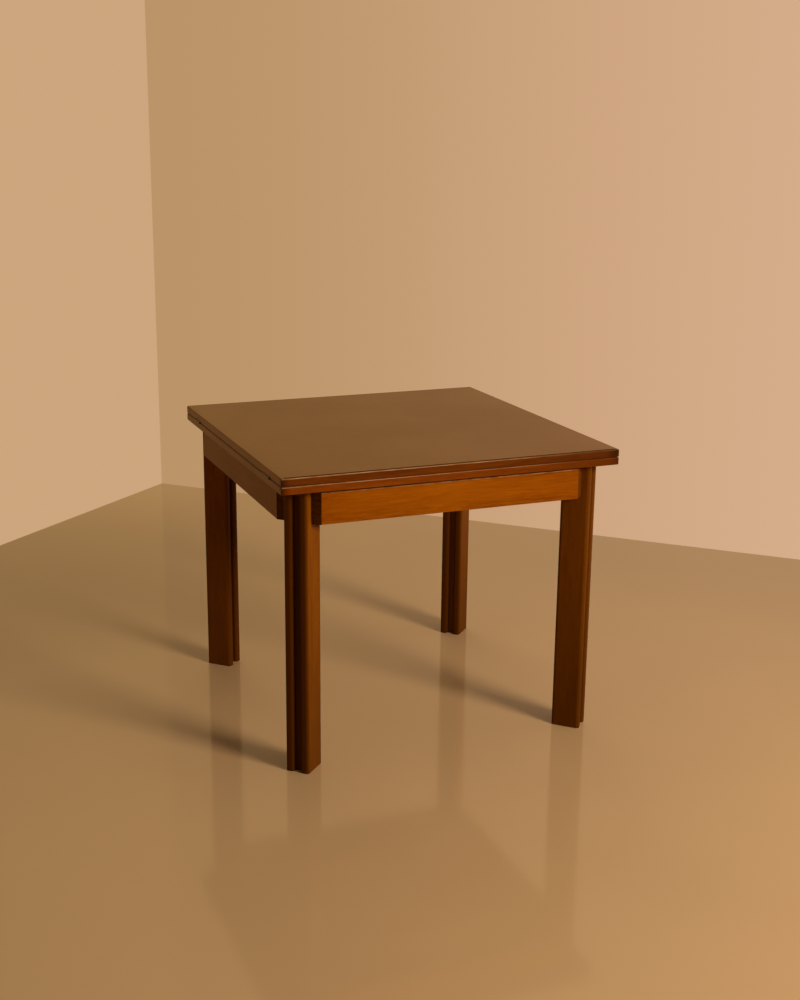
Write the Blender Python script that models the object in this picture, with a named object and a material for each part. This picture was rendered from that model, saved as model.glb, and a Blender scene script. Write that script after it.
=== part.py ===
"""Square extending dining table with a sliding, fold-over double top on four diagonal legs.

Metres, +Z up. The origin is on the floor under the middle of the closed table, +X points to
the right along the front apron and -Y points to the front. The two leaves are hinged on the
left. To extend the table, the top slides to the right by half its side and the upper leaf
folds over to the left.
"""

import bpy
import bmesh
from math import pi, radians, sqrt
from mathutils import Matrix, Vector

# Top
TABLE_HEIGHT = 0.770
TOP_SIDE = 0.900
LEAF_THICKNESS = 0.019
LEAF_GAP = 0.0015
LEAF_ARRIS_RADIUS = 0.0035
LEAF_CORNER_RADIUS = 0.006
LIPPING_WIDTH = 0.012

# Base
TOP_OVERHANG = 0.0205
SHADOW_GAP = 0.0075
APRON_HEIGHT = 0.079
APRON_THICKNESS = 0.025
APRON_ARRIS_RADIUS = 0.0015
LEG_SETBACK = 0.0664
LEG_PROJECTION = 0.0226
LEG_WIDTH = 0.076
LEG_PLANK_THICKNESS = 0.023
LEG_CORE_THICKNESS = 0.0175
LEG_GROOVE_DEPTH = 0.013
LEG_ARRIS_RADIUS = 0.008
LEG_TOP_CLEARANCE = 0.005

# Corner blocks and the bolts that hold the legs to them
BLOCK_THICKNESS = 0.022
BLOCK_HEIGHT = 0.060
BOLT_RADIUS = 0.003
BOLT_DEPTH_IN_CORE = 0.026
BOLT_PROUD = 0.004
WASHER_RADIUS = 0.009
WASHER_THICKNESS = 0.0016
NUT_ACROSS_FLATS = 0.010
NUT_HEIGHT = 0.005

# Guide rails in the base and runners under the lower leaf
RAIL_WIDTH = 0.034
RAIL_HEIGHT = 0.060
RAIL_TO_BLOCK = 0.012
HOUSING_DEPTH = 0.010
FELT_THICKNESS = 0.0015
FELT_MARGIN = 0.004
GROOVE_HEIGHT = 0.012
GROOVE_DEPTH = 0.012
GROOVE_DROP = 0.024
RUNNER_THICKNESS = 0.018

# Hinges between the leaves
HINGE_LENGTH = 0.060
HINGE_INSET = 0.122
HINGE_PLATE_WIDTH = 0.026
HINGE_PLATE_THICKNESS = 0.0018
HINGE_PIN_RADIUS = 0.0013
HINGE_BARREL_WALL = 0.0015
HINGE_AXIS_OUT = 0.00025
HINGE_KNUCKLES = 3

# Felt buffers between the leaves
BUFFER_RADIUS = 0.006
BUFFER_INSET = 0.060

# Clearances
GLUE_GAP = 0.0002
FIT_GAP = 0.0003
RUNNING_GAP = 0.0005
PIN_GAP = 0.0002

# Facet counts
ARRIS_SEGMENTS = 3
ROUND_SIDES = 20

# Levels and distances that follow from the sizes above
LOWER_LEAF_BOTTOM = TABLE_HEIGHT - 2 * LEAF_THICKNESS - LEAF_GAP
LOWER_LEAF_TOP = LOWER_LEAF_BOTTOM + LEAF_THICKNESS
UPPER_LEAF_BOTTOM = LOWER_LEAF_TOP + LEAF_GAP
APRON_TOP = LOWER_LEAF_BOTTOM - SHADOW_GAP
APRON_BOTTOM = APRON_TOP - APRON_HEIGHT
APRON_OUTER = TOP_SIDE / 2 - TOP_OVERHANG
APRON_INNER = APRON_OUTER - APRON_THICKNESS
LEG_OUTER = TOP_SIDE / sqrt(2) - LEG_SETBACK
LEG_INNER = LEG_OUTER - LEG_WIDTH
LEG_HALF = LEG_PLANK_THICKNESS + LEG_CORE_THICKNESS / 2
LEG_TOP = LOWER_LEAF_BOTTOM - LEG_TOP_CLEARANCE
CORNER_CUT = LEG_OUTER - LEG_PROJECTION
BLOCK_OUTER = LEG_INNER - FIT_GAP
BLOCK_INNER = BLOCK_OUTER - BLOCK_THICKNESS
BLOCK_MIDDLE = APRON_BOTTOM + APRON_HEIGHT / 2
BOLT_HOLE_RADIUS = BOLT_RADIUS + FIT_GAP
RAIL_OUTER = sqrt(2) * BLOCK_INNER - APRON_INNER - RAIL_TO_BLOCK
RAIL_INNER = RAIL_OUTER - RAIL_WIDTH
FELT_TOP = LOWER_LEAF_BOTTOM - FIT_GAP
RAIL_TOP = FELT_TOP - FELT_THICKNESS - GLUE_GAP
RAIL_BOTTOM = RAIL_TOP - RAIL_HEIGHT
GROOVE_TOP = RAIL_TOP - GROOVE_DROP
GROOVE_BOTTOM = GROOVE_TOP - GROOVE_HEIGHT
SLIDE_TRAVEL = TOP_SIDE / 2
RUNNER_START = -(APRON_INNER - RUNNING_GAP)
RUNNER_LENGTH = 2 * (APRON_INNER - RUNNING_GAP) - SLIDE_TRAVEL
HINGE_X = -(TOP_SIDE / 2 + HINGE_AXIS_OUT)
HINGE_Z = LOWER_LEAF_TOP + LEAF_GAP / 2
HINGE_Y = TOP_SIDE / 2 - HINGE_INSET
HINGE_BORE_RADIUS = HINGE_PIN_RADIUS + PIN_GAP
HINGE_BARREL_RADIUS = HINGE_BORE_RADIUS + HINGE_BARREL_WALL
CUT_MARGIN = 2 * APRON_THICKNESS

# Turn of each side and corner about Z, from the front and from +X
SIDES = {"front": 0.0, "right": pi / 2, "rear": pi, "left": -pi / 2}
CORNERS = {
    "front_left": radians(225),
    "front_right": radians(315),
    "rear_right": radians(45),
    "rear_left": radians(135),
}
ENDS = {"front": -1, "rear": 1}

COLOURS = {
    "walnut_veneer": ((0.205, 0.098, 0.040), 0.35, 0.0),
    "walnut_lipping": ((0.235, 0.072, 0.016), 0.38, 0.0),
    "walnut_solid": ((0.270, 0.090, 0.018), 0.40, 0.0),
    "beech": ((0.480, 0.290, 0.140), 0.55, 0.0),
    "felt": ((0.060, 0.085, 0.045), 0.95, 0.0),
    "brass": ((0.560, 0.400, 0.140), 0.30, 1.0),
    "steel": ((0.500, 0.500, 0.490), 0.35, 1.0),
}


def clear_scene():
    for obj in list(bpy.data.objects):
        bpy.data.objects.remove(obj, do_unlink=True)


def make_collection(name, hidden=False):
    collection = bpy.data.collections.new(name)
    bpy.context.scene.collection.children.link(collection)
    collection.hide_render = hidden
    return collection


def make_materials():
    made = {}
    for name, (colour, roughness, metallic) in COLOURS.items():
        material = bpy.data.materials.new(name)
        material.use_nodes = True
        shader = material.node_tree.nodes["Principled BSDF"]
        shader.inputs["Base Color"].default_value = (*colour, 1.0)
        shader.inputs["Roughness"].default_value = roughness
        shader.inputs["Metallic"].default_value = metallic
        made[name] = material
    return made


clear_scene()
PARTS = make_collection("extending_dining_table")
CUTTERS = make_collection("cutters", hidden=True)
MATERIALS = make_materials()


def place(name, bm, location, turn=0.0, material=None, parent=None):
    """Link a mesh as a sub-part, or as a hidden cutter when it has no material."""
    mesh = bpy.data.meshes.new(name)
    bm.to_mesh(mesh)
    bm.free()
    obj = bpy.data.objects.new(name, mesh)
    obj.location = location
    obj.rotation_euler.z = turn
    if material:
        PARTS.objects.link(obj)
        mesh.materials.append(MATERIALS[material])
    else:
        CUTTERS.objects.link(obj)
        obj.hide_render = True
        obj.display_type = "WIRE"
    if parent:
        obj.parent = parent
        obj.matrix_parent_inverse = Matrix.Translation(-parent_origin(parent))
    return obj


def parent_origin(empty):
    """World place of an empty that hangs from empties that are only moved, not turned."""
    origin = empty.location.copy()
    while empty.parent:
        empty = empty.parent
        origin += empty.location
    return origin


def box(name, low, high, turn=0.0, round_axis=None, radius=0.0, **looks):
    """Box between two corners in a frame turned about Z, with the edges along one axis rounded."""
    low, high = Vector(low), Vector(high)
    bm = bmesh.new()
    bmesh.ops.create_cube(bm, size=1.0)
    bmesh.ops.scale(bm, vec=high - low, verts=bm.verts)
    if round_axis is not None:
        edges = [edge for edge in bm.edges if runs_along(edge, round_axis)]
        round_edges(bm, edges, radius)
    middle = Matrix.Rotation(turn, 3, "Z") @ ((low + high) / 2)
    return place(name, bm, middle, turn, **looks)


def runs_along(edge, axis):
    direction = edge.verts[1].co - edge.verts[0].co
    return abs(direction[axis]) > 0.99 * direction.length


def round_edges(bm, edges, radius):
    bmesh.ops.bevel(bm, geom=edges, offset=radius, segments=ARRIS_SEGMENTS, profile=0.5, affect="EDGES")


def cylinder(name, radius, start, end, sides=ROUND_SIDES, **looks):
    """Cylinder, or a prism with few sides, between two points."""
    start, end = Vector(start), Vector(end)
    span = end - start
    bm = bmesh.new()
    bmesh.ops.create_cone(
        bm, cap_ends=True, segments=sides, radius1=radius, radius2=radius, depth=span.length
    )
    aim = span.to_track_quat("Z", "Y").to_matrix()
    bmesh.ops.rotate(bm, cent=(0, 0, 0), matrix=aim, verts=bm.verts)
    return place(name, bm, (start + end) / 2, **looks)


def combine(obj, other, operation):
    modifier = obj.modifiers.new(operation.title(), "BOOLEAN")
    modifier.operation = operation
    modifier.object = other
    modifier.solver = "EXACT"


def cut(obj, *others):
    for other in others:
        combine(obj, other, "DIFFERENCE")


def make_empty(name, location, parent=None):
    empty = bpy.data.objects.new(name, None)
    PARTS.objects.link(empty)
    empty.location = location
    if parent:
        empty.parent = parent
        empty.location = Vector(location) - parent_origin(parent)
    return empty


def on_diagonal(turn, distance, height):
    """Point at a distance from the table's middle along a corner's diagonal."""
    return Matrix.Rotation(turn, 3, "Z") @ Vector((distance, 0, height))


def make_leg(corner, turn):
    """Two rounded planks on a narrower core, which leaves a groove down both narrow sides."""
    for letter, side in (("a", -1), ("b", 1)):
        near = side * (LEG_CORE_THICKNESS / 2)
        far = side * LEG_HALF
        box(
            f"{corner}_leg_plank_{letter}",
            (LEG_INNER, min(near, far), 0),
            (LEG_OUTER, max(near, far), LEG_TOP),
            turn,
            round_axis=2,
            radius=LEG_ARRIS_RADIUS,
            material="walnut_solid",
        )
    half = LEG_CORE_THICKNESS / 2 - GLUE_GAP
    core = box(
        f"{corner}_leg_core",
        (LEG_INNER + LEG_GROOVE_DEPTH, -half, 0),
        (LEG_OUTER - LEG_GROOVE_DEPTH, half, LEG_TOP),
        turn,
        material="walnut_solid",
    )
    cut(core, bolt_hole(corner, turn))


def bolt_tip():
    return LEG_INNER + LEG_GROOVE_DEPTH + BOLT_DEPTH_IN_CORE


def bolt_hole(corner, turn):
    return cylinder(
        f"{corner}_bolt_hole",
        BOLT_HOLE_RADIUS,
        on_diagonal(turn, BLOCK_INNER - BLOCK_THICKNESS, BLOCK_MIDDLE),
        on_diagonal(turn, bolt_tip() + FIT_GAP, BLOCK_MIDDLE),
    )


def make_aprons():
    """Four boards, cut back at the corners to a diagonal facet and to the side of the leg."""
    facets = []
    slots = []
    for corner, turn in CORNERS.items():
        low_z = APRON_BOTTOM - CUT_MARGIN
        high_z = APRON_TOP + CUT_MARGIN
        facets.append(
            box(f"{corner}_facet", (CORNER_CUT, -APRON_OUTER, low_z), (TOP_SIDE, APRON_OUTER, high_z), turn)
        )
        half = LEG_HALF + FIT_GAP
        slots.append(box(f"{corner}_slot", (BLOCK_INNER, -half, low_z), (TOP_SIDE, half, high_z), turn))
    for side, turn in SIDES.items():
        apron = box(
            f"{side}_apron",
            (-APRON_OUTER, -APRON_OUTER, APRON_BOTTOM),
            (APRON_OUTER, -APRON_INNER, APRON_TOP),
            turn,
            round_axis=0,
            radius=APRON_ARRIS_RADIUS,
            material="walnut_solid",
        )
        cut(apron, *facets, *slots)
        if side in ("left", "right"):
            cut(apron, *(rail_housing(side, end) for end in ENDS))


def rail_housing(side, end):
    """Pocket, open at the top, that a rail's end drops into."""
    sign = -1 if side == "left" else 1
    near = sign * (APRON_INNER - CUT_MARGIN)
    far = sign * (APRON_INNER + HOUSING_DEPTH)
    low_y, high_y = rail_span(end)
    return box(
        f"{side}_{end}_housing",
        (min(near, far), low_y - FIT_GAP, RAIL_BOTTOM - FIT_GAP),
        (max(near, far), high_y + FIT_GAP, RAIL_TOP + CUT_MARGIN),
    )


def rail_span(end):
    """Lowest and highest Y of a rail."""
    sign = ENDS[end]
    return sorted((sign * RAIL_INNER, sign * RAIL_OUTER))


def make_corner(corner, turn, interior):
    """Block across the corner, with the bolt, washer and nut that draw the leg against it."""
    block = box(
        f"{corner}_corner_block",
        (BLOCK_INNER, -APRON_INNER, BLOCK_MIDDLE - BLOCK_HEIGHT / 2),
        (BLOCK_OUTER, APRON_INNER, BLOCK_MIDDLE + BLOCK_HEIGHT / 2),
        turn,
        material="beech",
    )
    combine(block, interior, "INTERSECT")
    hole = bpy.data.objects[f"{corner}_bolt_hole"]
    cut(block, hole)
    washer_outer = BLOCK_INNER - FIT_GAP
    nut_outer = washer_outer - WASHER_THICKNESS - FIT_GAP
    nut_inner = nut_outer - NUT_HEIGHT
    washer = cylinder(
        f"{corner}_washer",
        WASHER_RADIUS,
        on_diagonal(turn, washer_outer - WASHER_THICKNESS, BLOCK_MIDDLE),
        on_diagonal(turn, washer_outer, BLOCK_MIDDLE),
        material="steel",
    )
    nut = cylinder(
        f"{corner}_nut",
        NUT_ACROSS_FLATS / sqrt(3),
        on_diagonal(turn, nut_inner, BLOCK_MIDDLE),
        on_diagonal(turn, nut_outer, BLOCK_MIDDLE),
        sides=6,
        material="steel",
    )
    cut(washer, hole)
    cut(nut, hole)
    cylinder(
        f"{corner}_hanger_bolt",
        BOLT_RADIUS,
        on_diagonal(turn, nut_inner - BOLT_PROUD, BLOCK_MIDDLE),
        on_diagonal(turn, bolt_tip(), BLOCK_MIDDLE),
        material="steel",
    )


def make_rail(end):
    """Grooved rail between the side aprons, with a felt strip that the leaves slide and rest on."""
    low_y, high_y = rail_span(end)
    reach = APRON_INNER + HOUSING_DEPTH - FIT_GAP
    rail = box(
        f"{end}_guide_rail", (-reach, low_y, RAIL_BOTTOM), (reach, high_y, RAIL_TOP), material="beech"
    )
    sign = ENDS[end]
    groove_y = sorted((sign * (RAIL_INNER - CUT_MARGIN), sign * (RAIL_INNER + GROOVE_DEPTH)))
    groove = box(
        f"{end}_groove", (-TOP_SIDE, groove_y[0], GROOVE_BOTTOM), (TOP_SIDE, groove_y[1], GROOVE_TOP)
    )
    cut(rail, groove)
    box(
        f"{end}_rail_felt",
        (-reach, low_y + FELT_MARGIN, FELT_TOP - FELT_THICKNESS),
        (reach, high_y - FELT_MARGIN, FELT_TOP),
        material="felt",
    )


def make_runner(end, parent):
    """Strip under the lower leaf with a tongue in the rail's groove; its ends stop on the aprons."""
    sign = ENDS[end]
    web_y = sorted((sign * (RAIL_INNER - RUNNING_GAP), sign * (RAIL_INNER - RUNNING_GAP - RUNNER_THICKNESS)))
    tongue_reach = RAIL_INNER + GROOVE_DEPTH - RUNNING_GAP
    tongue_root = RAIL_INNER - RUNNING_GAP - RUNNER_THICKNESS / 2
    tongue_y = sorted((sign * tongue_reach, sign * tongue_root))
    runner_end = RUNNER_START + RUNNER_LENGTH
    bottom = GROOVE_BOTTOM + RUNNING_GAP
    runner = box(
        f"{end}_runner",
        (RUNNER_START, web_y[0], bottom),
        (runner_end, web_y[1], LOWER_LEAF_BOTTOM - GLUE_GAP),
        material="beech",
        parent=parent,
    )
    tongue = box(
        f"{end}_tongue",
        (RUNNER_START, tongue_y[0], bottom),
        (runner_end, tongue_y[1], GROOVE_TOP - RUNNING_GAP),
    )
    combine(runner, tongue, "UNION")


def make_leaf(leaf, bottom, pockets, parent):
    """Veneered panel with four mitred solid lippings, which carry the rounded edges."""
    top = bottom + LEAF_THICKNESS
    half = TOP_SIDE / 2
    panel_half = half - LIPPING_WIDTH - GLUE_GAP
    panel = box(
        f"{leaf}_leaf_panel",
        (-panel_half, -panel_half, bottom),
        (panel_half, panel_half, top),
        material="walnut_veneer",
        parent=parent,
    )
    cut(panel, *pockets)
    slab = rounded_slab(f"{leaf}_slab", bottom)
    for side, turn in SIDES.items():
        lipping = lipping_blank(f"{leaf}_leaf_{side}_lipping", bottom, turn, parent)
        combine(lipping, slab, "INTERSECT")
        if side == "left":
            cut(lipping, *pockets)


def rounded_slab(name, bottom):
    """Whole leaf with rounded corners and arrises, which the lippings are cut to."""
    bm = bmesh.new()
    bmesh.ops.create_cube(bm, size=1.0)
    bmesh.ops.scale(bm, vec=(TOP_SIDE, TOP_SIDE, LEAF_THICKNESS), verts=bm.verts)
    upright = [edge for edge in bm.edges if runs_along(edge, 2)]
    round_edges(bm, upright, LEAF_CORNER_RADIUS)
    level = [edge for edge in bm.edges if abs(edge.verts[0].co.z - edge.verts[1].co.z) < LEAF_THICKNESS / 2]
    round_edges(bm, level, LEAF_ARRIS_RADIUS)
    return place(name, bm, (0, 0, bottom + LEAF_THICKNESS / 2))


def lipping_blank(name, bottom, turn, parent):
    """Mitred bar, deeper and wider than the finished lipping."""
    half = TOP_SIDE / 2
    bm = bmesh.new()
    bmesh.ops.create_cube(bm, size=1.0)
    for vert in bm.verts:
        distance = half + LIPPING_WIDTH if vert.co.y < 0 else half - LIPPING_WIDTH
        vert.co.x *= 2 * (distance - GLUE_GAP)
        vert.co.y = -distance
        vert.co.z *= 2 * LEAF_THICKNESS
    middle = (0, 0, bottom + LEAF_THICKNESS / 2)
    return place(name, bm, middle, turn, material="walnut_lipping", parent=parent)


def knuckle_spans(middle_y, first):
    """Y spans of every second knuckle of a hinge, from the first or the second one on."""
    length = HINGE_LENGTH / HINGE_KNUCKLES
    start = middle_y - HINGE_LENGTH / 2
    return [
        (start + index * length + FIT_GAP / 2, start + (index + 1) * length - FIT_GAP / 2)
        for index in range(first, HINGE_KNUCKLES, 2)
    ]


def hinge_bore(end):
    y = ENDS[end] * HINGE_Y
    return cylinder(
        f"{end}_hinge_bore",
        HINGE_BORE_RADIUS,
        (HINGE_X, y - HINGE_LENGTH, HINGE_Z),
        (HINGE_X, y + HINGE_LENGTH, HINGE_Z),
    )


def make_hinge_plate(end, leaf, first_knuckle, bore, parent):
    """Flush plate with its knuckles on the hinge axis, notched for the other plate's knuckles."""
    middle_y = ENDS[end] * HINGE_Y
    half = HINGE_LENGTH / 2
    low_z, high_z = plate_levels(leaf)
    plate = box(
        f"{end}_hinge_{leaf}_plate",
        (HINGE_X, middle_y - half + FIT_GAP / 2, low_z),
        (HINGE_X + HINGE_PLATE_WIDTH, middle_y + half - FIT_GAP / 2, high_z),
        material="brass",
        parent=parent,
    )
    notch_reach = HINGE_BARREL_RADIUS + FIT_GAP
    for number, (low_y, high_y) in enumerate(knuckle_spans(middle_y, 1 - first_knuckle)):
        notch = box(
            f"{end}_{leaf}_notch_{number}",
            (HINGE_X - notch_reach, low_y - FIT_GAP, low_z - notch_reach),
            (HINGE_X + notch_reach, high_y + FIT_GAP, high_z + notch_reach),
        )
        cut(plate, notch)
    for number, (low_y, high_y) in enumerate(knuckle_spans(middle_y, first_knuckle)):
        knuckle = cylinder(
            f"{end}_{leaf}_knuckle_{number}",
            HINGE_BARREL_RADIUS,
            (HINGE_X, low_y, HINGE_Z),
            (HINGE_X, high_y, HINGE_Z),
        )
        combine(plate, knuckle, "UNION")
    cut(plate, bore)


def plate_levels(leaf):
    """Lowest and highest Z of a hinge plate, flush with the inner face of its leaf."""
    if leaf == "lower":
        return LOWER_LEAF_TOP - HINGE_PLATE_THICKNESS, LOWER_LEAF_TOP
    return UPPER_LEAF_BOTTOM, UPPER_LEAF_BOTTOM + HINGE_PLATE_THICKNESS


def make_hinge(end, lower_parent, upper_parent):
    bore = hinge_bore(end)
    make_hinge_plate(end, "lower", 0, bore, lower_parent)
    make_hinge_plate(end, "upper", 1, bore, upper_parent)
    middle_y = ENDS[end] * HINGE_Y
    cylinder(
        f"{end}_hinge_pin",
        HINGE_PIN_RADIUS,
        (HINGE_X, middle_y - HINGE_LENGTH / 2, HINGE_Z),
        (HINGE_X, middle_y + HINGE_LENGTH / 2, HINGE_Z),
        material="brass",
        parent=lower_parent,
    )


def hinge_pockets(leaf):
    """Recesses in a leaf for the plates and barrels of both hinges."""
    low_z, high_z = plate_levels(leaf)
    open_below = leaf == "upper"
    low_z -= LEAF_GAP / 2 if open_below else FIT_GAP
    high_z += FIT_GAP if open_below else LEAF_GAP / 2
    pockets = []
    for end, sign in ENDS.items():
        low_y = sign * HINGE_Y - HINGE_LENGTH / 2 - FIT_GAP
        high_y = sign * HINGE_Y + HINGE_LENGTH / 2 + FIT_GAP
        reach = HINGE_X + HINGE_PLATE_WIDTH + FIT_GAP
        pockets.append(
            box(f"{end}_{leaf}_pocket", (HINGE_X - CUT_MARGIN, low_y, low_z), (reach, high_y, high_z))
        )
        barrel_radius = HINGE_BARREL_RADIUS + FIT_GAP
        pockets.append(
            cylinder(
                f"{end}_{leaf}_barrel_recess",
                barrel_radius,
                (HINGE_X, low_y, HINGE_Z),
                (HINGE_X, high_y, HINGE_Z),
            )
        )
    return pockets


def make_buffers(parent):
    """Felt dots on the lower leaf that the folded upper leaf lies on."""
    reach = TOP_SIDE / 2 - BUFFER_INSET
    for corner, turn in CORNERS.items():
        x, y, _ = on_diagonal(turn, sqrt(2) * reach, 0)
        cylinder(
            f"{corner}_buffer",
            BUFFER_RADIUS,
            (x, y, LOWER_LEAF_TOP + GLUE_GAP),
            (x, y, UPPER_LEAF_BOTTOM - FIT_GAP),
            material="felt",
            parent=parent,
        )


def make_table():
    top_slide = make_empty("top_slide_axis", (0, 0, LOWER_LEAF_BOTTOM))
    leaf_fold = make_empty("leaf_fold_axis", (HINGE_X, 0, HINGE_Z), top_slide)
    inside = APRON_INNER - GLUE_GAP
    interior = box("interior", (-inside, -inside, 0), (inside, inside, TABLE_HEIGHT))
    for corner, turn in CORNERS.items():
        make_leg(corner, turn)
        make_corner(corner, turn, interior)
    make_aprons()
    for end in ENDS:
        make_rail(end)
        make_runner(end, top_slide)
    make_leaf("lower", LOWER_LEAF_BOTTOM, hinge_pockets("lower"), top_slide)
    make_leaf("upper", UPPER_LEAF_BOTTOM, hinge_pockets("upper"), leaf_fold)
    for end in ENDS:
        make_hinge(end, top_slide, leaf_fold)
    make_buffers(top_slide)


make_table()
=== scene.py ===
from math import pi, radians, sqrt

import bmesh
import bpy
from mathutils import Matrix, Vector


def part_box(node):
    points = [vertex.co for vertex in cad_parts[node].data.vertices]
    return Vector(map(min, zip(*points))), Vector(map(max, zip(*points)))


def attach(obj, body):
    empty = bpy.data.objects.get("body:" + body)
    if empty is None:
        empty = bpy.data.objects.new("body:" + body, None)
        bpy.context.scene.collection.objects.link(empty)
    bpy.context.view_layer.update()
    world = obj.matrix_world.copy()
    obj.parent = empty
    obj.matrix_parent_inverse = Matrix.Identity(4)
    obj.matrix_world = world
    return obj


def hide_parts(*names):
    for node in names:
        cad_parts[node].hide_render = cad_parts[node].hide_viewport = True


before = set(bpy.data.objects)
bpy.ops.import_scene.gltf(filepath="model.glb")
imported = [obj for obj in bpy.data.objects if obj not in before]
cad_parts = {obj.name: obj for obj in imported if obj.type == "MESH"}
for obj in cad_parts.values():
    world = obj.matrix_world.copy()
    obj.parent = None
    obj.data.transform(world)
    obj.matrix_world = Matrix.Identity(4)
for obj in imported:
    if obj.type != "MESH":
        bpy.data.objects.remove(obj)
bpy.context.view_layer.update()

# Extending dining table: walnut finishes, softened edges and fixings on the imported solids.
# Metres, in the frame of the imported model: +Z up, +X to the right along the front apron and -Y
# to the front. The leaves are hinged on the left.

# Leaves of the top, one on the other, and the level of each one's underside
TABLE_HEIGHT = 0.770
TOP_SIDE = 0.900
LEAF_THICKNESS = 0.019
LEAF_GAP = 0.0015
LEAF_CORNER = 0.006
LEAF_ARRIS = 0.0035
LEAF_LOWER_ARRIS = 0.0010
LIPPING_WIDTH = 0.012
HALF_SIDE = TOP_SIDE / 2
UPPER_LEAF_BOTTOM = TABLE_HEIGHT - LEAF_THICKNESS
LOWER_LEAF_TOP = UPPER_LEAF_BOTTOM - LEAF_GAP
LEAVES = {"lower": LOWER_LEAF_TOP - LEAF_THICKNESS, "upper": UPPER_LEAF_BOTTOM}

# Aprons, with a facet across each corner
APRON_OUTER = 0.4295
APRON_INNER = 0.4045
APRON_BOTTOM = 0.644
APRON_TOP = 0.723
APRON_ARRIS = 0.0020
FACET_DISTANCE = 0.5474
FACET_ARRIS = 0.0005

# Legs of two planks with a core between them, set on the diagonals
LEG_OUTER = 0.570
LEG_INNER = 0.494
LEG_TOP = 0.7255
LEG_HALF = 0.03175
LEG_CORE_HALF = 0.00875
LEG_ARRIS = 0.008
FOOT_ARRIS = 0.0010

# Hinges in the left edge
HINGE_X = -0.45025
HINGE_Y = 0.328
HINGE_Z = LOWER_LEAF_TOP + LEAF_GAP / 2
HINGE_LENGTH = 0.060
HINGE_PLATE_WIDTH = 0.026
HINGE_PLATE_THICKNESS = 0.0018
HINGE_BARREL = 0.003

# Room round a piece that is let into another
CLEARANCE = 0.0003

# Screw heads and their seats, in shares of the head's radius
SEAT_DEPTH = 0.55
SEAT_FOOT = 0.25
HEAD_DEPTH = 0.9 * SEAT_DEPTH
HEAD_FOOT = 0.3
HEAD_FACE = 0.94
HEAD_RIM = 0.05
SLOT_HALF_LENGTH = 1.2
SLOT_HALF_WIDTH = 0.16
SLOT_DEPTH = 0.3

# Room round a screw's head, how deep it is sunk, and the roll from one slot to the next
SCREW_ROOM = 0.0001
SCREW_SINK = 0.0001
SCREW_ROLL = 1.1

# Where screws go: steps along a hinge with insets from its axis, steps along a runner
HINGE_SCREW_RADIUS = 0.0027
HINGE_SCREWS = ((-0.021, 0.0175), (0.0, 0.0125), (0.021, 0.0175))
RUNNER_SCREW_RADIUS = 0.0036
RUNNER_SCREWS = (0.040, 0.179, 0.318)
RUNNER_WEB_MIDDLE = 0.2071
RUNNER_HEAD_PROUD = 0.0020
COUNTERBORE_RADIUS = 0.0045
COUNTERBORE_DEPTH = 0.007
BLOCK_SCREW_RADIUS = 0.0040
BLOCK_SCREW_REACH = 0.082
BLOCK_SCREW_RISE = 0.018
BLOCK_INNER = 0.4717

# Bolts that hold the legs to their corner blocks
BOLT_HEIGHT = 0.6835
BOLT_START = 0.4605
BOLT_LENGTH = 0.0725
BOLT_RADIUS = 0.003
BOLT_CHAMFER = 0.0005
THREAD_START = 0.0003
THREAD_DEPTH = 0.0005
THREAD_PITCH = 0.001
THREAD_RIDGES = 11

# Radius of the eased edges on pieces that otherwise have their solid's shape
BLOCK_EASE = 0.0012
BAR_EASE = 0.0010
STRIP_EASE = 0.0004
BUFFER_EASE = 0.0002
NUT_EASE = 0.0004
WASHER_EASE = 0.0003
PIN_EASE = 0.0003
PLATE_EASE = 0.0002

# Turn of each side about Z from the front, of each corner from +X, and the sign of each end's Y
SIDES = {"front": 0.0, "right": pi / 2, "rear": pi, "left": -pi / 2}
CORNERS = {
    "front_left": radians(225),
    "front_right": radians(315),
    "rear_right": radians(45),
    "rear_left": radians(135),
}
ENDS = {"front": -1, "rear": 1}

# Mesh work: distances and angles that count as nothing or as sharp
WELD_DISTANCE = 1e-5
MERGE_DISTANCE = 1e-6
LEVEL_DISTANCE = 1e-6
CUT_DISTANCE = 1e-7
FLAT_ANGLE = radians(0.5)
SHARP_ANGLE = radians(40)

# Cosines past which an edge or a face is square to an axis, flat, or on the diagonal
SQUARE_ON = 0.99
FLAT_ON = 0.999
FACET_ON = 0.65

# Sides of a round form, shortest upright edge that is softened, and pull of large faces on shading
ROUND_SIDES = 32
SHORTEST_UPRIGHT = 0.02
FACE_WEIGHT = 100

# Turns that lay a wood's grain along the X axis of its pattern
GRAIN_TURN = {"x": (0, 0, 0), "y": (0, 0, -pi / 2), "z": (0, pi / 2, 0)}

# Walnut's figure, in waves a metre along the grain and twice across it
STREAK_WAVES = (2.2, 15, 15)
BAND_WAVES = (10, 130, 130)
FIBRE_WAVES = (24, 420, 420)
PORE_WAVES = (60, 1300, 1300)

# Cosines between which a rounded edge turns into a face, and Y between front and rear
ARRIS_TURN = (0.80, 0.97)
FRONT_TO_REAR = (-0.1, 0.1)

# Heights of the painted highlight along a long apron's top, and of the painted highlight in its middle,
# over squares of distances
TOP_EDGE_HIGHLIGHT_HEIGHTS = (APRON_TOP - 0.0045, APRON_TOP - 0.0015)
MIDDLE_HIGHLIGHT_SHARE = 0.28
MIDDLE_HIGHLIGHT_HEIGHT = 0.692
MIDDLE_HIGHLIGHT_LENGTH = (0.0025, 0.16)
MIDDLE_HIGHLIGHT_RISE = (0.0001, 0.0014)

# A lipping's painted shade: depth of the band behind a front arris, its corners, its right tip and
# beside the gap
EDGE_SHADE_DEPTH = (LEAF_ARRIS, LEAF_ARRIS + 0.0015)
CORNER_REACH = (0.425, 0.447)
TIP_REACH = (0.400, 0.440)
GAP_SHADE_REACH = (0.0012**2, 0.0046**2)

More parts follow.
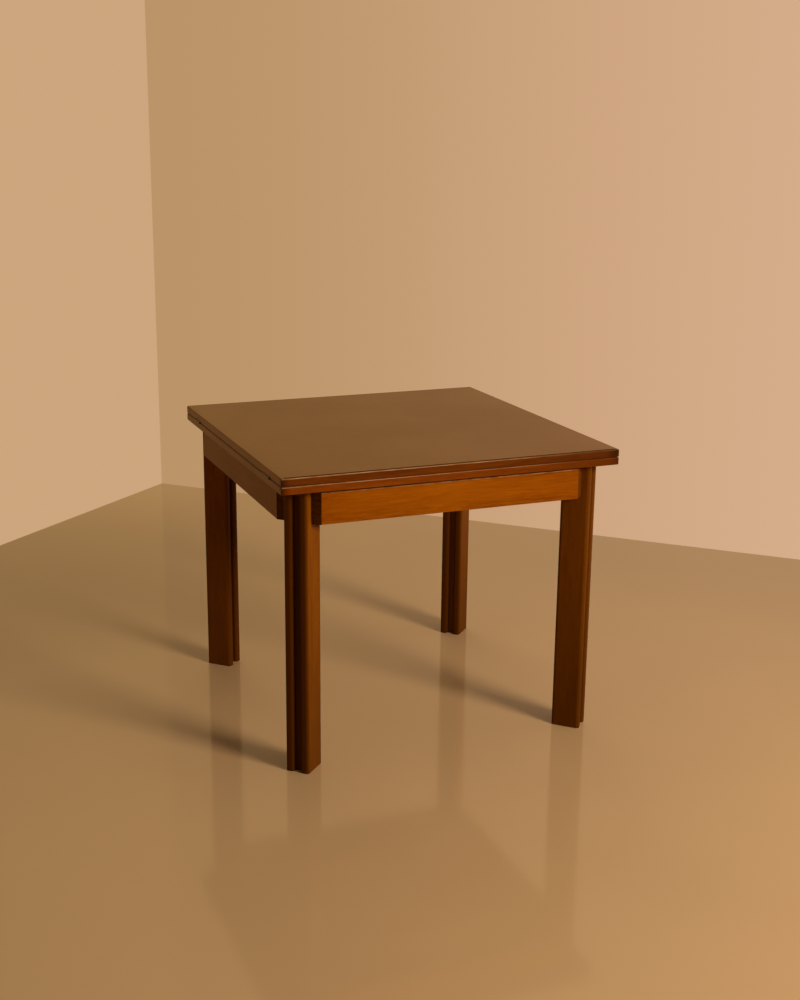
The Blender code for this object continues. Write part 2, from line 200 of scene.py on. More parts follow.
# Share of painted shade on each leg's wide and narrow sides, kept at the points of its mesh; more where
# a leg's sides face away from the key light
PAINTED_SHADE_SHARE = "stain_share"
LEG_PAINTED_SHADE = {
    "front_left": (0.00, 0.80),
    "front_right": (0.40, 0.44),
    "rear_right": (0.16, 0.85),
    "rear_left": (0.05, 0.60),
}

# Woods: tones of the grain, of worn and painted-highlight places and of a lighter tone, the contrast of
# the figure, the coat's sheen and tint, and shares of wear, painted highlight, painted shade and dark
# on some parts
TOP_WOOD = dict(
    dark=(0.176, 0.0520, 0.0026),
    mid=(0.205, 0.0635, 0.0030),
    pale=(0.235, 0.0760, 0.0045),
    worn_and_lit_tone=(0.235, 0.0820, 0.0120),
    worn_and_lit_below=1.0,
    roughness=0.34,
    figure=0.45,
    coat=(0.50, (1.0, 0.96, 0.30)),
)
UPPER_LIPPING_WOOD = dict(
    dark=(0.066, 0.0122, 0.0008),
    mid=(0.115, 0.0228, 0.0012),
    pale=(0.165, 0.0365, 0.0025),
    worn_and_lit_tone=(0.480, 0.250, 0.1150),
    figure=1.2,
    deeper=0.40,
    tip=0.90,
    under=0.0,
)
LOWER_LIPPING_WOOD = dict(
    dark=(0.105, 0.0172, 0.0006),
    mid=(0.175, 0.0330, 0.0010),
    pale=(0.235, 0.0500, 0.0020),
    worn_and_lit_tone=(0.440, 0.215, 0.1000),
    figure=1.2,
    deeper=0.65,
    tip=0.45,
    under=0.85,
)
# A lighter copy of the lipping walnut for the side edges; it paints light on the left edges, which face
# away from the key light
SIDE_LIPPING_WOOD = dict(
    dark=(0.160, 0.0430, 0.0010),
    mid=(0.225, 0.0620, 0.0015),
    pale=(0.290, 0.0840, 0.0028),
    worn_and_lit_tone=(0.220, 0.0750, 0.0150),
    figure=0.9,
    deeper=0.0,
    tip=0.0,
    under=0.0,
)
APRON_WOOD = dict(
    dark=(0.165, 0.031, 0.0003),
    mid=(0.262, 0.059, 0.0004),
    pale=(0.365, 0.094, 0.0010),
    middle_highlight=(0.430, 0.112, 0.0006),
    worn_and_lit_tone=(0.640, 0.320, 0.1300),
    worn_and_lit_below=0.10,
    top_edge_highlight=0.80,
    roughness=0.55,
    figure=1.20,
    coat=(0.20, (1.0, 0.58, 0.14)),
)
# A darker, yellower copy of the apron walnut for the side aprons; its tone paints the grazing sheen on
# the shaded left side
SIDE_APRON_WOOD = dict(
    dark=(0.148, 0.041, 0.0007),
    mid=(0.210, 0.064, 0.0010),
    pale=(0.275, 0.090, 0.0018),
    worn_and_lit_tone=(0.300, 0.110, 0.0200),
    worn_and_lit_below=0.30,
    roughness=0.50,
    figure=0.9,
    coat=(0.12, (1.0, 0.74, 0.08)),
)
LEG_WOOD = dict(
    dark=(0.110, 0.0255, 0.0004),
    mid=(0.191, 0.0490, 0.0006),
    pale=(0.248, 0.0680, 0.0012),
    worn_and_lit_tone=(0.155, 0.0405, 0.0006),
    worn_and_lit_below=1.0,
    roughness=0.56,
    figure=0.9,
    coat=(0.11, (1.0, 0.58, 0.14)),
)
GROOVE_WOOD = dict(
    dark=(0.050, 0.0120, 0.0004),
    mid=(0.075, 0.0190, 0.0006),
    pale=(0.100, 0.0270, 0.0012),
    worn_and_lit_tone=(0.075, 0.0190, 0.0006),
    lighter_tone=(0.150, 0.0500, 0.0030),
    worn_and_lit_below=1.0,
    roughness=0.62,
    figure=0.9,
    coat=(0.12, (1.0, 0.58, 0.14)),
)
END_GRAIN = dict(
    dark=(0.042, 0.0110, 0.0004),
    mid=(0.068, 0.0180, 0.0006),
    pale=(0.098, 0.0260, 0.0012),
    lighter_tone=(0.140, 0.0330, 0.0006),
    roughness=0.50,
    coat=(0.12, (1.0, 0.58, 0.14)),
)

# Edges of a leaf: coat, cosines between which side turns into face, and shares of what shows
LONG_EDGE = dict(
    coat=(0.30, (1.0, 0.60, 0.20)), roughness=0.34, turn=(0.86, 0.97), edge_shade=0.90, wear_and_highlight=1.0, gap_shade=0.0
)
LEFT_EDGE = dict(
    coat=(0.23, (1.0, 0.75, 0.20)), roughness=0.46, turn=(0.62, 0.98), edge_shade=0.0, wear_and_highlight=0.0, gap_shade=0.7
)
RIGHT_EDGE = dict(
    coat=(0.50, (1.0, 0.96, 0.30)), roughness=0.36, turn=(0.40, 0.80), edge_shade=0.0, wear_and_highlight=0.0, gap_shade=0.7
)

# Inner wood, felt and metals
BEECH_TONES = [(0.30, (0.40, 0.235, 0.110)), (0.52, (0.50, 0.310, 0.155)), (0.72, (0.57, 0.375, 0.205))]
BEECH_FLECK = (0.30, 0.150, 0.060)
FELT_TONES = [(0.30, (0.030, 0.042, 0.010)), (0.70, (0.078, 0.104, 0.028))]
FELT_SHEEN = (0.55, 0.70, 0.20)
BRASS = dict(
    dull=(0.15, 0.095, 0.036),
    bright=(0.27, 0.180, 0.070),
    roughness=0.42,
    lines=(900, 40, 900),
    dark_past_edge=0.85,
)
STEEL = dict(
    dull=(0.34, 0.34, 0.33),
    bright=(0.58, 0.58, 0.56),
    roughness=0.36,
    lines=(500, 500, 500),
    dark_past_edge=0.0,
)

# Floor, with the distances at which it is no longer lit and at which it meets the backdrop
FLOOR_SIZE = 30.0
FLOOR_LEVEL = -0.0002
FLOOR_COLOUR = (0.600, 0.345, 0.150)
FLOOR_ROUGHNESS = 0.09
FAR_FLOOR_COLOUR = (0.42, 0.230, 0.088)
LIT_FLOOR = (2.3, 3.6)
FLOOR_FADE = (3.2, 7.5)
BACKDROP_COLOUR = (0.60, 0.375, 0.20)

# Walls from one corner, with their left and right tones as seen and as mirrored; the tones paint the
# room's light, darker by the corner
WALL_HEIGHT = 3.2
WALL_REACH = 7.0
WALL_CORNER = Vector((-0.08, 2.50, 0))
WALL_TONES_AT = (-0.1, 2.3)
WALLS = {
    "back_wall": dict(
        turn=radians(-44),
        facing=Vector((-1, -1, 0)),
        tones=((0.50, 0.295, 0.140), (0.69, 0.430, 0.265)),
        mirrored=((0.50, 0.295, 0.118), (0.69, 0.430, 0.260)),
    ),
    "left_wall": dict(
        turn=radians(222),
        facing=Vector((1, -1, 0)),
        tones=((0.61, 0.380, 0.210), (0.61, 0.380, 0.210)),
        mirrored=((0.61, 0.360, 0.135), (0.61, 0.360, 0.135)),
    ),
}

# Camera at the photograph's place
CAMERA_PLACE = (-1.38581, -3.44551, 1.58341)
CAMERA_YAW = 0.39036
CAMERA_PITCH = 0.26821
CAMERA_ROLL = 0.01105
CAMERA_LENS = 50.438
SENSOR_WIDTH = 36.0

# Lamps, which all point at the table's middle, and the world's light
LAMP_TARGET = Vector((0, 0, 0.55))
LAMP_COLOUR = (1.0, 0.94, 0.85)
LAMPS = {
    "key_light": dict(place=(2.16, -4.10, 2.45), shape="DISK", size=1.5, power=200.0, mirrored=False),
    "ceiling_light": dict(place=(1.3, -0.9, 3.3), shape="SQUARE", size=3.0, power=14.0, mirrored=True),
    "rear_light": dict(place=(0.3, 3.2, 2.3), shape="SQUARE", size=2.4, power=26.0, mirrored=False),
}
WORLD_COLOUR = (1.0, 0.92, 0.80)
WORLD_STRENGTH = 0.14
OVERHEAD_COLOUR = (0.10, 0.075, 0.05)
OVERHEAD_RISE = (0.25, 0.75)


def opaque(colour):
    return (*colour, 1.0)


def darker(colour, share):
    return opaque([channel * share for channel in colour])


class Value:
    """A shader socket that takes part in Python arithmetic through Math nodes."""

    def __init__(self, network, socket):
        self.network = network
        self.socket = socket

    def math(self, operation, first, second):
        return self.network.node("ShaderNodeMath", {"operation": operation}, {0: first, 1: second})

    def __add__(self, other):
        return self.math("ADD", self, other)

    def __sub__(self, other):
        return self.math("SUBTRACT", self, other)

    def __rsub__(self, other):
        return self.math("SUBTRACT", other, self)

    def __mul__(self, other):
        return self.math("MULTIPLY", self, other)

    __radd__ = __add__
    __rmul__ = __mul__

    def most(self, other):
        return self.math("MAXIMUM", self, other)

    def least(self, other):
        return self.math("MINIMUM", self, other)


class Network:
    """The nodes of one material, or of the world."""

    def __init__(self, tree):
        self.tree = tree

    def node(self, kind, settings=None, sockets=None, out=0):
        """Add a node: its settings are set first, then its sockets are given values or links."""
        made = self.tree.nodes.new(kind)
        for key, value in (settings or {}).items():
            if key == "stops":
                self.set_stops(made.color_ramp.elements, value)
            else:
                setattr(made, key, value)
        for key, value in (sockets or {}).items():
            self.feed(made.inputs[key], value)
        return Value(self, made.outputs[out])

    def set_stops(self, elements, stops):
        while len(elements) < len(stops):
            elements.new(1.0)
        for element, (position, colour) in zip(elements, stops):
            element.position = position
            element.color = opaque(colour)

    def feed(self, socket, value):
        if isinstance(value, Value):
            self.tree.links.new(value.socket, socket)
        else:
            socket.default_value = value

    def show(self, shader, output="Material Output"):
        self.feed(self.tree.nodes[output].inputs["Surface"], shader)

    def axis(self, vector, name):
        return self.node("ShaderNodeSeparateXYZ", None, {0: vector}, out=name)

    def spread(self, value, low, high, to_low=0.0, to_high=1.0):
        """Ease a value from one range to another and hold it at both ends."""
        sockets = {
            "Value": value,
            "From Min": low,
            "From Max": high,
            "To Min": to_low,
            "To Max": to_high,
        }
        return self.node("ShaderNodeMapRange", {"interpolation_type": "SMOOTHSTEP"}, sockets)

    def mix(self, factor, first, second):
        settings = {"data_type": "RGBA", "blend_type": "MIX"}
        return self.node("ShaderNodeMix", settings, {"Factor": factor, 6: first, 7: second}, out=2)

    def mix_shaders(self, factor, first, second):
        return self.node("ShaderNodeMixShader", None, {0: factor, 1: first, 2: second})

    def ray(self, kind):
        return self.node("ShaderNodeLightPath", out=f"Is {kind} Ray")

    def seen_or_mirrored(self):
        """One for rays from the camera and for reflections."""
        return self.ray("Camera").most(self.ray("Glossy"))


class Finish(Network):
    """The node material of one surface."""

    def __init__(self, name):
        self.material = bpy.data.materials.new(name)
        self.material.use_nodes = True
        super().__init__(self.material.node_tree)
        self.shader = self.tree.nodes["Principled BSDF"]

    def surface(self, **sockets):
        """Feed the shader's sockets, named in small letters and underscores."""
        for key, value in sockets.items():
            name = key.replace("_", " ").title().replace("Ior", "IOR")
            self.feed(self.shader.inputs[name], value)

    def spot(self):
        return self.node("ShaderNodeTexCoord", out="Object")

    def along(self, name):
        """Place on the object's X, Y or Z axis."""
        return self.axis(self.spot(), name)

    def normal(self):
        return self.node("ShaderNodeTexCoord", out="Normal")

    def size(self, vector):
        return self.node("ShaderNodeVectorMath", {"operation": "ABSOLUTE"}, {0: vector})

    def place(self, turn, scale):
        """Object coordinates, turned and then stretched."""
        turned = self.node("ShaderNodeMapping", None, {"Vector": self.spot(), "Rotation": turn})
        return self.node("ShaderNodeMapping", None, {"Vector": turned, "Scale": scale})

    def noise(self, spot, scale=1.0, detail=2.0, roughness=0.5, distortion=0.0):
        sockets = {
            "Vector": spot,
            "Scale": scale,
            "Detail": detail,
            "Roughness": roughness,
            "Distortion": distortion,
        }
        return self.node("ShaderNodeTexNoise", None, sockets)

    def grain(self, direction, waves, **shape):
        """Noise drawn out along a grain, with so many waves a metre on each axis."""
        return self.noise(self.place(GRAIN_TURN[direction], waves), **shape)

    def ramp(self, value, stops):
        return self.node("ShaderNodeValToRGB", {"stops": stops}, {"Fac": value})

    def bump(self, height, strength, distance):
        sockets = {"Strength": strength, "Distance": distance, "Height": height}
        return self.node("ShaderNodeBump", None, sockets)

    def arris(self, turn=(0, 0, 0)):
        """One along rounded edges and nothing on faces square to the turned axes."""
        sockets = {"Vector": self.normal(), "Rotation": turn}
        size = self.size(self.node("ShaderNodeMapping", {"vector_type": "VECTOR"}, sockets))
        x, y, z = (self.axis(size, name) for name in "XYZ")
        return 1 - self.spread(x.most(y).most(z), *ARRIS_TURN)


def grain_tones(wood):
    """Ramp stops from a wood's dark grain to its pale grain."""
    return [(0.34, wood["dark"]), (0.50, wood["mid"]), (0.66, wood["pale"])]


class Timber:
    """Streaks, bands, fibres, pores and clouds of one cut of walnut, as values of a finish."""

    def __init__(self, finish, grain):
        self.finish = finish
        self.streak = finish.grain(grain, STREAK_WAVES, detail=5.0, roughness=0.55, distortion=0.7)
        self.band = finish.grain(grain, BAND_WAVES, detail=4.0, roughness=0.65, distortion=0.5)
        self.fibre = finish.grain(grain, FIBRE_WAVES, detail=3.0, roughness=0.6)
        self.pore = finish.spread(finish.grain(grain, PORE_WAVES, detail=1.0), 0.60, 0.72)
        self.cloud = finish.noise(finish.spot(), scale=3.1, detail=3.0)

    def colour(self, wood):
        """Grain of a wood's tones, with dark pores and shaded clouds."""
        tone = self.streak * 0.32 + self.band * 0.38 + self.fibre * 0.30
        tone = (tone - 0.5) * wood["figure"] + 0.5
        colour = self.finish.ramp(tone, grain_tones(wood))
        colour = self.finish.mix(self.pore * 0.30, colour, darker(wood["dark"], 0.45))
        shade = self.finish.spread(self.cloud, 0.30, 0.70, to_high=0.20)
        return self.finish.mix(shade, colour, darker(wood["mid"], 0.62))

    def gloss(self, roughness):
        return self.fibre * 0.10 + self.pore * 0.10 + self.cloud * 0.10 + (roughness - 0.10)

    def relief(self):
        height = self.fibre * 0.5 + self.band * 0.3 - self.pore * 0.8
        return self.finish.bump(height, strength=0.12, distance=0.0004)


def lacquer(finish, colour, roughness, relief, coat):
    """Satin lacquer of one sheen and tint over a wood's colour."""
    sheen, tint = coat
    finish.surface(
        base_color=colour,
        roughness=roughness,
        normal=relief,
        specular_ior_level=sheen,
        specular_tint=opaque(tint),
    )
    return finish.material


def walnut(name, grain, wood, diagonal=False, leg=False):
    """Lacquered wood with worn arrises and painted highlights, a lighter rear and painted leg shade
    where it has them.
    """
    finish = Finish(name)
    timber = Timber(finish, grain)
    worn_and_lit_mask = worn_and_lit_places(finish, wood, diagonal)
    colour = timber.colour(wood)
    # A painted highlight in the middle of the long aprons' sides
    if "middle_highlight" in wood:
        colour = finish.mix(painted_middle_highlight(finish) * MIDDLE_HIGHLIGHT_SHARE, colour, opaque(wood["middle_highlight"]))
    # Worn arrises; on the aprons and front edges this light tone also paints the highlight of lit upper
    # arrises
    colour = finish.mix(worn_and_lit_mask, colour, opaque(wood["worn_and_lit_tone"]))
    # Lighter towards the rear
    if "lighter_tone" in wood:
        to_rear = finish.spread(finish.along("Y"), *FRONT_TO_REAR)
        colour = finish.mix(to_rear, colour, opaque(wood["lighter_tone"]))
    if leg:
        colour = painted_leg_shade(finish, timber, wood, colour)
    roughness = timber.gloss(wood["roughness"]) - worn_and_lit_mask * 0.06
    return lacquer(finish, colour, roughness, timber.relief(), wood["coat"])


def worn_and_lit_places(finish, wood, diagonal):
    """Patches of wear and painted highlight on the arrises, fewer on lower ones, and a painted
    highlight along the top of some boards.
    """
    edge = finish.arris((0, 0, pi / 4) if diagonal else (0, 0, 0))
    facing = finish.axis(finish.normal(), "Z")
    worn_and_lit_share = finish.spread(facing, -0.3, 0.3, to_low=wood["worn_and_lit_below"])
    patches = finish.noise(finish.spot(), scale=38.0, detail=3.0)
    patches = finish.spread(patches, 0.32, 0.66, to_low=0.25, to_high=0.85)
    worn_and_lit_mask = edge * worn_and_lit_share * patches
    # A painted highlight just below the top edge of the long aprons
    if "top_edge_highlight" in wood:
        above = finish.spread(finish.along("Z"), *TOP_EDGE_HIGHLIGHT_HEIGHTS, to_high=wood["top_edge_highlight"])
        worn_and_lit_mask = worn_and_lit_mask.most(above * patches)
    return worn_and_lit_mask


def painted_middle_highlight(finish):
    """Painted highlight: one in the middle of a long apron's side, and nothing towards its edges."""
    length = finish.along("X")
    rise = finish.along("Z") - MIDDLE_HIGHLIGHT_HEIGHT
    lengthwise = 1 - finish.spread(length * length, *MIDDLE_HIGHLIGHT_LENGTH)
    return lengthwise * (1 - finish.spread(rise * rise, *MIDDLE_HIGHLIGHT_RISE))


def painted_leg_shade(finish, timber, wood, colour):
    """Painted shade by the share kept on the mesh, and painted shade that thickens towards the foot."""
    # The share read here is painted shade
    stain = finish.node("ShaderNodeAttribute", {"attribute_name": PAINTED_SHADE_SHARE}, out="Fac")
    colour = finish.mix(stain, colour, darker(wood["dark"], 0.50))
    # Painted shade that thickens towards the foot
    height = finish.along("Z") + timber.cloud * 0.12
    foot_shade = finish.spread(height, 0.06, 0.60, to_low=0.48, to_high=0.0)
    return finish.mix(foot_shade, colour, darker(wood["dark"], 0.55))


def walnut_end_grain(name, wood):
    """Cut across the fibres, where the stain goes in deeper; painted light makes it lighter towards the
    right.
    """
    finish = Finish(name)
    pore = finish.noise(finish.spot(), scale=900.0, roughness=0.6)
    pore = finish.spread(pore, 0.45, 0.66)
    rings = finish.place((0, 0, 0.3), (40, 40, 160))
    ring = finish.noise(rings, detail=3.0, distortion=0.6)
    colour = finish.ramp(ring, grain_tones(wood))
    colour = finish.mix(pore * 0.45, colour, darker(wood["dark"], 0.40))
    # Painted light and shade: lighter towards the right, where the facets face the key light
    to_right = finish.spread(finish.along("X"), -0.25, 0.30, to_high=0.75)
    colour = finish.mix(to_right, colour, opaque(wood["lighter_tone"]))
    relief = finish.bump(1 - pore, strength=0.15, distance=0.0003)
    return lacquer(finish, colour, pore * 0.12 + wood["roughness"], relief, wood["coat"])


def walnut_lipping(name, grain, wood, edge):
    """Edge of a leaf: the veneer's tones on its face, its own on its side, and a worn arris with a
    painted highlight.
    """
    finish = Finish(name)
    timber = Timber(finish, grain)
    length = finish.along("X")
    # A band of painted shade on the lipping's face behind the front arris
    edge_shade = painted_edge_shade(finish) * edge["edge_shade"]
    face_colour = finish.mix(edge_shade, timber.colour(TOP_WOOD), darker(wood["mid"], 0.35))
    side_colour = lipping_side(finish, timber, wood, edge["gap_shade"])
    level = finish.axis(finish.size(finish.normal()), "Z")
    colour = finish.mix(finish.spread(level, *edge["turn"]), side_colour, face_colour)
    deeper = finish.spread(length, 0.0, HALF_SIDE, to_high=wood["deeper"])
    colour = finish.mix(deeper, colour, darker(wood["dark"], 0.8))
    # Wear with a painted highlight on the upper front arris, strongest at the left and fading to the
    # right
    worn_and_lit_share = finish.spread(length, -0.05, 0.40, to_low=edge["wear_and_highlight"], to_high=edge["wear_and_highlight"] * 0.10)
    patches = finish.noise(finish.spot(), scale=26.0, detail=3.0)
    patches = finish.spread(patches, 0.35, 0.66, to_low=0.45)
    upward = finish.spread(finish.axis(finish.normal(), "Z"), 0.15, 0.45)
    worn_and_lit_mask = finish.arris() * upward * patches * worn_and_lit_share
    colour = finish.mix(worn_and_lit_mask, colour, opaque(wood["worn_and_lit_tone"]))
    roughness = timber.gloss(edge["roughness"]) - worn_and_lit_mask * 0.05 + edge_shade * 0.75
    return lacquer(finish, colour, roughness, timber.relief(), edge["coat"])


def painted_edge_shade(finish):
    """Painted shade along a front edge: one on what lies further in than its lipping's arris."""
    size = finish.size(finish.spot())
    depth = HALF_SIDE - finish.axis(size, "X").most(finish.axis(size, "Y"))
    to_front = 1 - finish.spread(finish.along("Y"), *FRONT_TO_REAR)
    return finish.spread(depth, *EDGE_SHADE_DEPTH) * to_front


def lipping_side(finish, timber, wood, gap_shade_share):
    """Colour of a lipping's side, with painted shade at its corners and tip, beside the gap and below.
    """
    size = finish.size(finish.spot())
    from_middle = finish.axis(size, "X").least(finish.axis(size, "Y"))
    # Painted shade at the corners, at the right tip, beside the gap between the leaves and on faces
    # that look down
    corner = finish.spread(from_middle, *CORNER_REACH, to_high=0.85)
    tip = finish.spread(finish.along("X"), *TIP_REACH, to_high=wood["tip"])
    from_gap = finish.along("Z") - HINGE_Z
    gap_shade = (1 - finish.spread(from_gap * from_gap, *GAP_SHADE_REACH)) * gap_shade_share
    facing = finish.axis(finish.normal(), "Z")
    below = (1 - finish.spread(facing, -0.70, -0.20)) * wood["under"]
    colour = timber.colour(wood)
    for place, shade in ((corner, 0.45), (tip, 0.30), (gap_shade, 0.35), (below, 0.20)):
        colour = finish.mix(place, colour, darker(wood["dark"], shade))
    return colour


def planed_beech(name, grain):
    """Bare pale wood with the short flecks of beech."""
    finish = Finish(name)
    streak = finish.grain(grain, (2.0, 30, 30), detail=4.0, roughness=0.55, distortion=0.4)
    fibre = finish.grain(grain, (12, 380, 380), detail=3.0, roughness=0.6)
    fleck = finish.spread(finish.grain(grain, (160, 900, 900), detail=1.0), 0.63, 0.70)
    colour = finish.ramp(streak * 0.6 + fibre * 0.4, BEECH_TONES)
    finish.surface(
        base_color=finish.mix(fleck * 0.5, colour, opaque(BEECH_FLECK)),
        roughness=fibre * 0.15 + 0.52,
        normal=finish.bump(fibre * 0.6 - fleck * 0.5, strength=0.15, distance=0.0004),
        specular_ior_level=0.35,
    )
    return finish.material


def wool_felt(name):
    """Green felt of fine tufts in uneven patches."""
    finish = Finish(name)
    tuft = finish.noise(finish.spot(), scale=900.0, detail=3.0, roughness=0.7)
    patch = finish.noise(finish.spot(), scale=60.0)
    finish.surface(
        base_color=finish.ramp(tuft * 0.6 + patch * 0.4, FELT_TONES),
        roughness=patch * 0.08 + 0.88,
        normal=finish.bump(tuft, strength=0.5, distance=0.0006),
        specular_ior_level=0.10,
        sheen_weight=0.15,
        sheen_tint=opaque(FELT_SHEEN),
    )
    return finish.material


def satin_metal(name, look):
    """Metal with faint drawn lines, stains and brighter edges, darker left of the leaves."""
    finish = Finish(name)
    dull, bright = look["dull"], look["bright"]
    line = finish.grain("x", look["lines"], detail=3.0, roughness=0.6)
    stain = finish.noise(finish.spot(), scale=220.0, detail=4.0, roughness=0.6)
    colour = finish.mix(finish.spread(stain, 0.35, 0.70), opaque(bright), opaque(dull))
    colour = finish.mix(finish.arris() * 0.5, colour, opaque(bright))
    if look["dark_past_edge"]:
        bare = 1 - finish.spread(finish.along("X"), -HALF_SIDE, HINGE_BARREL - HALF_SIDE)
        colour = finish.mix(bare * look["dark_past_edge"], colour, darker(dull, 0.35))
    finish.surface(
        base_color=colour,
        roughness=line * 0.12 + stain * 0.14 + (look["roughness"] - 0.12),
        metallic=1 - finish.spread(stain, 0.58, 0.75) * 0.25,
        normal=finish.bump(line, strength=0.08, distance=0.0002),
    )
    return finish.material


# Finishes of the pieces
leaf_veneer = walnut("walnut_leaf_veneer", "x", TOP_WOOD)
long_edge = {
    "upper": walnut_lipping("walnut_upper_edge", "x", UPPER_LIPPING_WOOD, LONG_EDGE),
    "lower": walnut_lipping("walnut_lower_edge", "x", LOWER_LIPPING_WOOD, LONG_EDGE),
}
side_edge = {
    "left": walnut_lipping("walnut_left_edge", "y", SIDE_LIPPING_WOOD, LEFT_EDGE),
    "right": walnut_lipping("walnut_right_edge", "y", SIDE_LIPPING_WOOD, RIGHT_EDGE),
}
apron_wood = {
    "x": walnut("walnut_apron", "x", APRON_WOOD),
    "y": walnut("walnut_side_apron", "y", SIDE_APRON_WOOD),
}
leg_wood = walnut("walnut_leg", "z", LEG_WOOD, diagonal=True, leg=True)
groove_wood = walnut("walnut_leg_groove", "z", GROOVE_WOOD, diagonal=True)
end_grain = walnut_end_grain("walnut_end_grain", END_GRAIN)
beech = {grain: planed_beech(f"planed_beech_{grain}", grain) for grain in "xz"}
felt = wool_felt("wool_felt")
brass = satin_metal("aged_brass", BRASS)
steel = satin_metal("zinc_steel", STEEL)


def block(low, high):
    """A bmesh box between two corners."""
    low, high = Vector(low), Vector(high)
    bm = bmesh.new()
    bmesh.ops.create_cube(bm, size=1.0)
    bmesh.ops.scale(bm, vec=high - low, verts=bm.verts)
    bmesh.ops.translate(bm, vec=(low + high) / 2, verts=bm.verts)
    return bm


def rod(radius, length):
    """A bmesh cylinder along Z, centred on the origin."""
    bm = bmesh.new()
    bmesh.ops.create_cone(
        bm, cap_ends=True, segments=ROUND_SIDES, radius1=radius, radius2=radius, depth=length
    )
    return bm


def turned(profile):
    """A closed round form about Z from points of radius and height, both ends on the axis."""
    bm = bmesh.new()
    points = [bm.verts.new((radius, 0, height)) for radius, height in profile]
    edges = [bm.edges.new(pair) for pair in zip(points, points[1:])]
    bmesh.ops.spin(
        bm,
        geom=points + edges,
        cent=(0, 0, 0),
        axis=(0, 0, 1),
        angle=2 * pi,
        steps=ROUND_SIDES,
        use_merge=True,
    )
    bmesh.ops.remove_doubles(bm, verts=bm.verts, dist=CUT_DISTANCE)
    return bm


def solid_copy(node):
    """A solid's loose triangles merged into whole flat faces."""
    bm = bmesh.new()
    bm.from_mesh(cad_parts[node].data)
    bmesh.ops.remove_doubles(bm, verts=bm.verts, dist=MERGE_DISTANCE)
    bmesh.ops.dissolve_limit(bm, angle_limit=FLAT_ANGLE, verts=bm.verts, edges=bm.edges)
    return bm


def edges_along(bm, axis):
    found = []
    for edge in bm.edges:
        run = edge.verts[1].co - edge.verts[0].co
        if abs(getattr(run, axis)) > SQUARE_ON * run.length:
            found.append(edge)
    return found


def edges_at(bm, *heights):
    """Edges that lie level at one of the heights."""
    found = []
    for edge in bm.edges:
        for height in heights:
            if all(abs(vert.co.z - height) < LEVEL_DISTANCE for vert in edge.verts):
                found.append(edge)
    return found


def soften(bm, edges, radius, segments, clamp=False):
    bmesh.ops.bevel(
        bm,
        geom=edges,
        offset=radius,
        segments=segments,
        profile=0.5,
        affect="EDGES",
        material=-1,
        clamp_overlap=clamp,
    )


def trim(bm, point, outward):
    """Cut away what lies beyond a plane and close the cut."""
    geom = bm.verts[:] + bm.edges[:] + bm.faces[:]
    cut = bmesh.ops.bisect_plane(
        bm, geom=geom, dist=CUT_DISTANCE, plane_co=point, plane_no=outward, clear_outer=True
    )
    rim = [part for part in cut["geom_cut"] if isinstance(part, bmesh.types.BMEdge)]
    bmesh.ops.edgeloop_fill(bm, edges=rim)


def turn_about(bm, axis, angle):
    bmesh.ops.rotate(bm, cent=(0, 0, 0), matrix=Matrix.Rotation(angle, 3, axis), verts=bm.verts)


def stand(place, facing, roll=0.0):
    """Matrix that turns +Z to a direction and moves the origin to a place."""
    aim = facing.to_track_quat("Z", "Y").to_matrix().to_4x4()
    return Matrix.Translation(place) @ aim @ Matrix.Rotation(roll, 4, "Z")


def link(name, bm):
    """Make an object of a bmesh, as it is."""
    mesh = bpy.data.meshes.new(name)
    bm.to_mesh(mesh)
    bm.free()
    obj = bpy.data.objects.new(name, mesh)
    bpy.context.scene.collection.objects.link(obj)
    return obj


def make_piece(name, bm):
    """Make a smooth object of a closed bmesh, with its faces pointing outwards."""
    bmesh.ops.dissolve_degenerate(bm, dist=WELD_DISTANCE, edges=bm.edges)
    bmesh.ops.recalc_face_normals(bm, faces=bm.faces)
    obj = link(name, bm)
    obj.data.shade_smooth()
    return obj


def carve(obj, cutters):
    """Cut bmesh shapes out of an object's mesh for good."""
    for bm in cutters:
        cutter = make_piece("cutter", bm)
        modifier = obj.modifiers.new("carve", "BOOLEAN")
        modifier.operation = "DIFFERENCE"
        modifier.solver = "EXACT"
        modifier.object = cutter
        shaped = obj.evaluated_get(bpy.context.evaluated_depsgraph_get())
        mesh = bpy.data.meshes.new_from_object(shaped)
        obj.modifiers.clear()
        spent = obj.data
        obj.data = mesh
        bpy.data.meshes.remove(spent)
        bpy.data.objects.remove(cutter)
    bm = bmesh.new()
    bm.from_mesh(obj.data)
    bmesh.ops.dissolve_degenerate(bm, dist=WELD_DISTANCE, edges=bm.edges)
    bm.to_mesh(obj.data)
    bm.free()


def settle(obj, body, slot, materials, *nodes):
    """Give a piece its finishes and body, and hide the solids it stands for."""
    for material in materials:
        obj.data.materials.append(material)
    obj.data.set_sharp_from_angle(angle=SHARP_ANGLE)
    evened = obj.modifiers.new("even_shading", "WEIGHTED_NORMAL")
    evened.weight = FACE_WEIGHT
    evened.keep_sharp = True
    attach(obj, body)
    if nodes:
        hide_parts(*nodes)


def give_second_finish(obj, takes_it):
    """Give the second finish to the faces whose normal passes a test."""
    for face in obj.data.polygons:
        face.material_index = 1 if takes_it(face.normal) else 0


def dress(node, material):
    """Give a solid that is shown as it is a better material."""
    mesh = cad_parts[node].data
    for index in range(len(mesh.materials)):
        mesh.materials[index] = material


def softened(node, name, body, slot, material, radius, cutters=()):
    """A solid with every sharp edge eased, and holes cut in it."""
    bm = solid_copy(node)
    sharp = [edge for edge in bm.edges if edge.is_manifold and edge.calc_face_angle() > SHARP_ANGLE]
    soften(bm, sharp, radius, segments=2, clamp=True)
    obj = make_piece(name, bm)
    carve(obj, cutters)
    settle(obj, body, slot, [material], node)


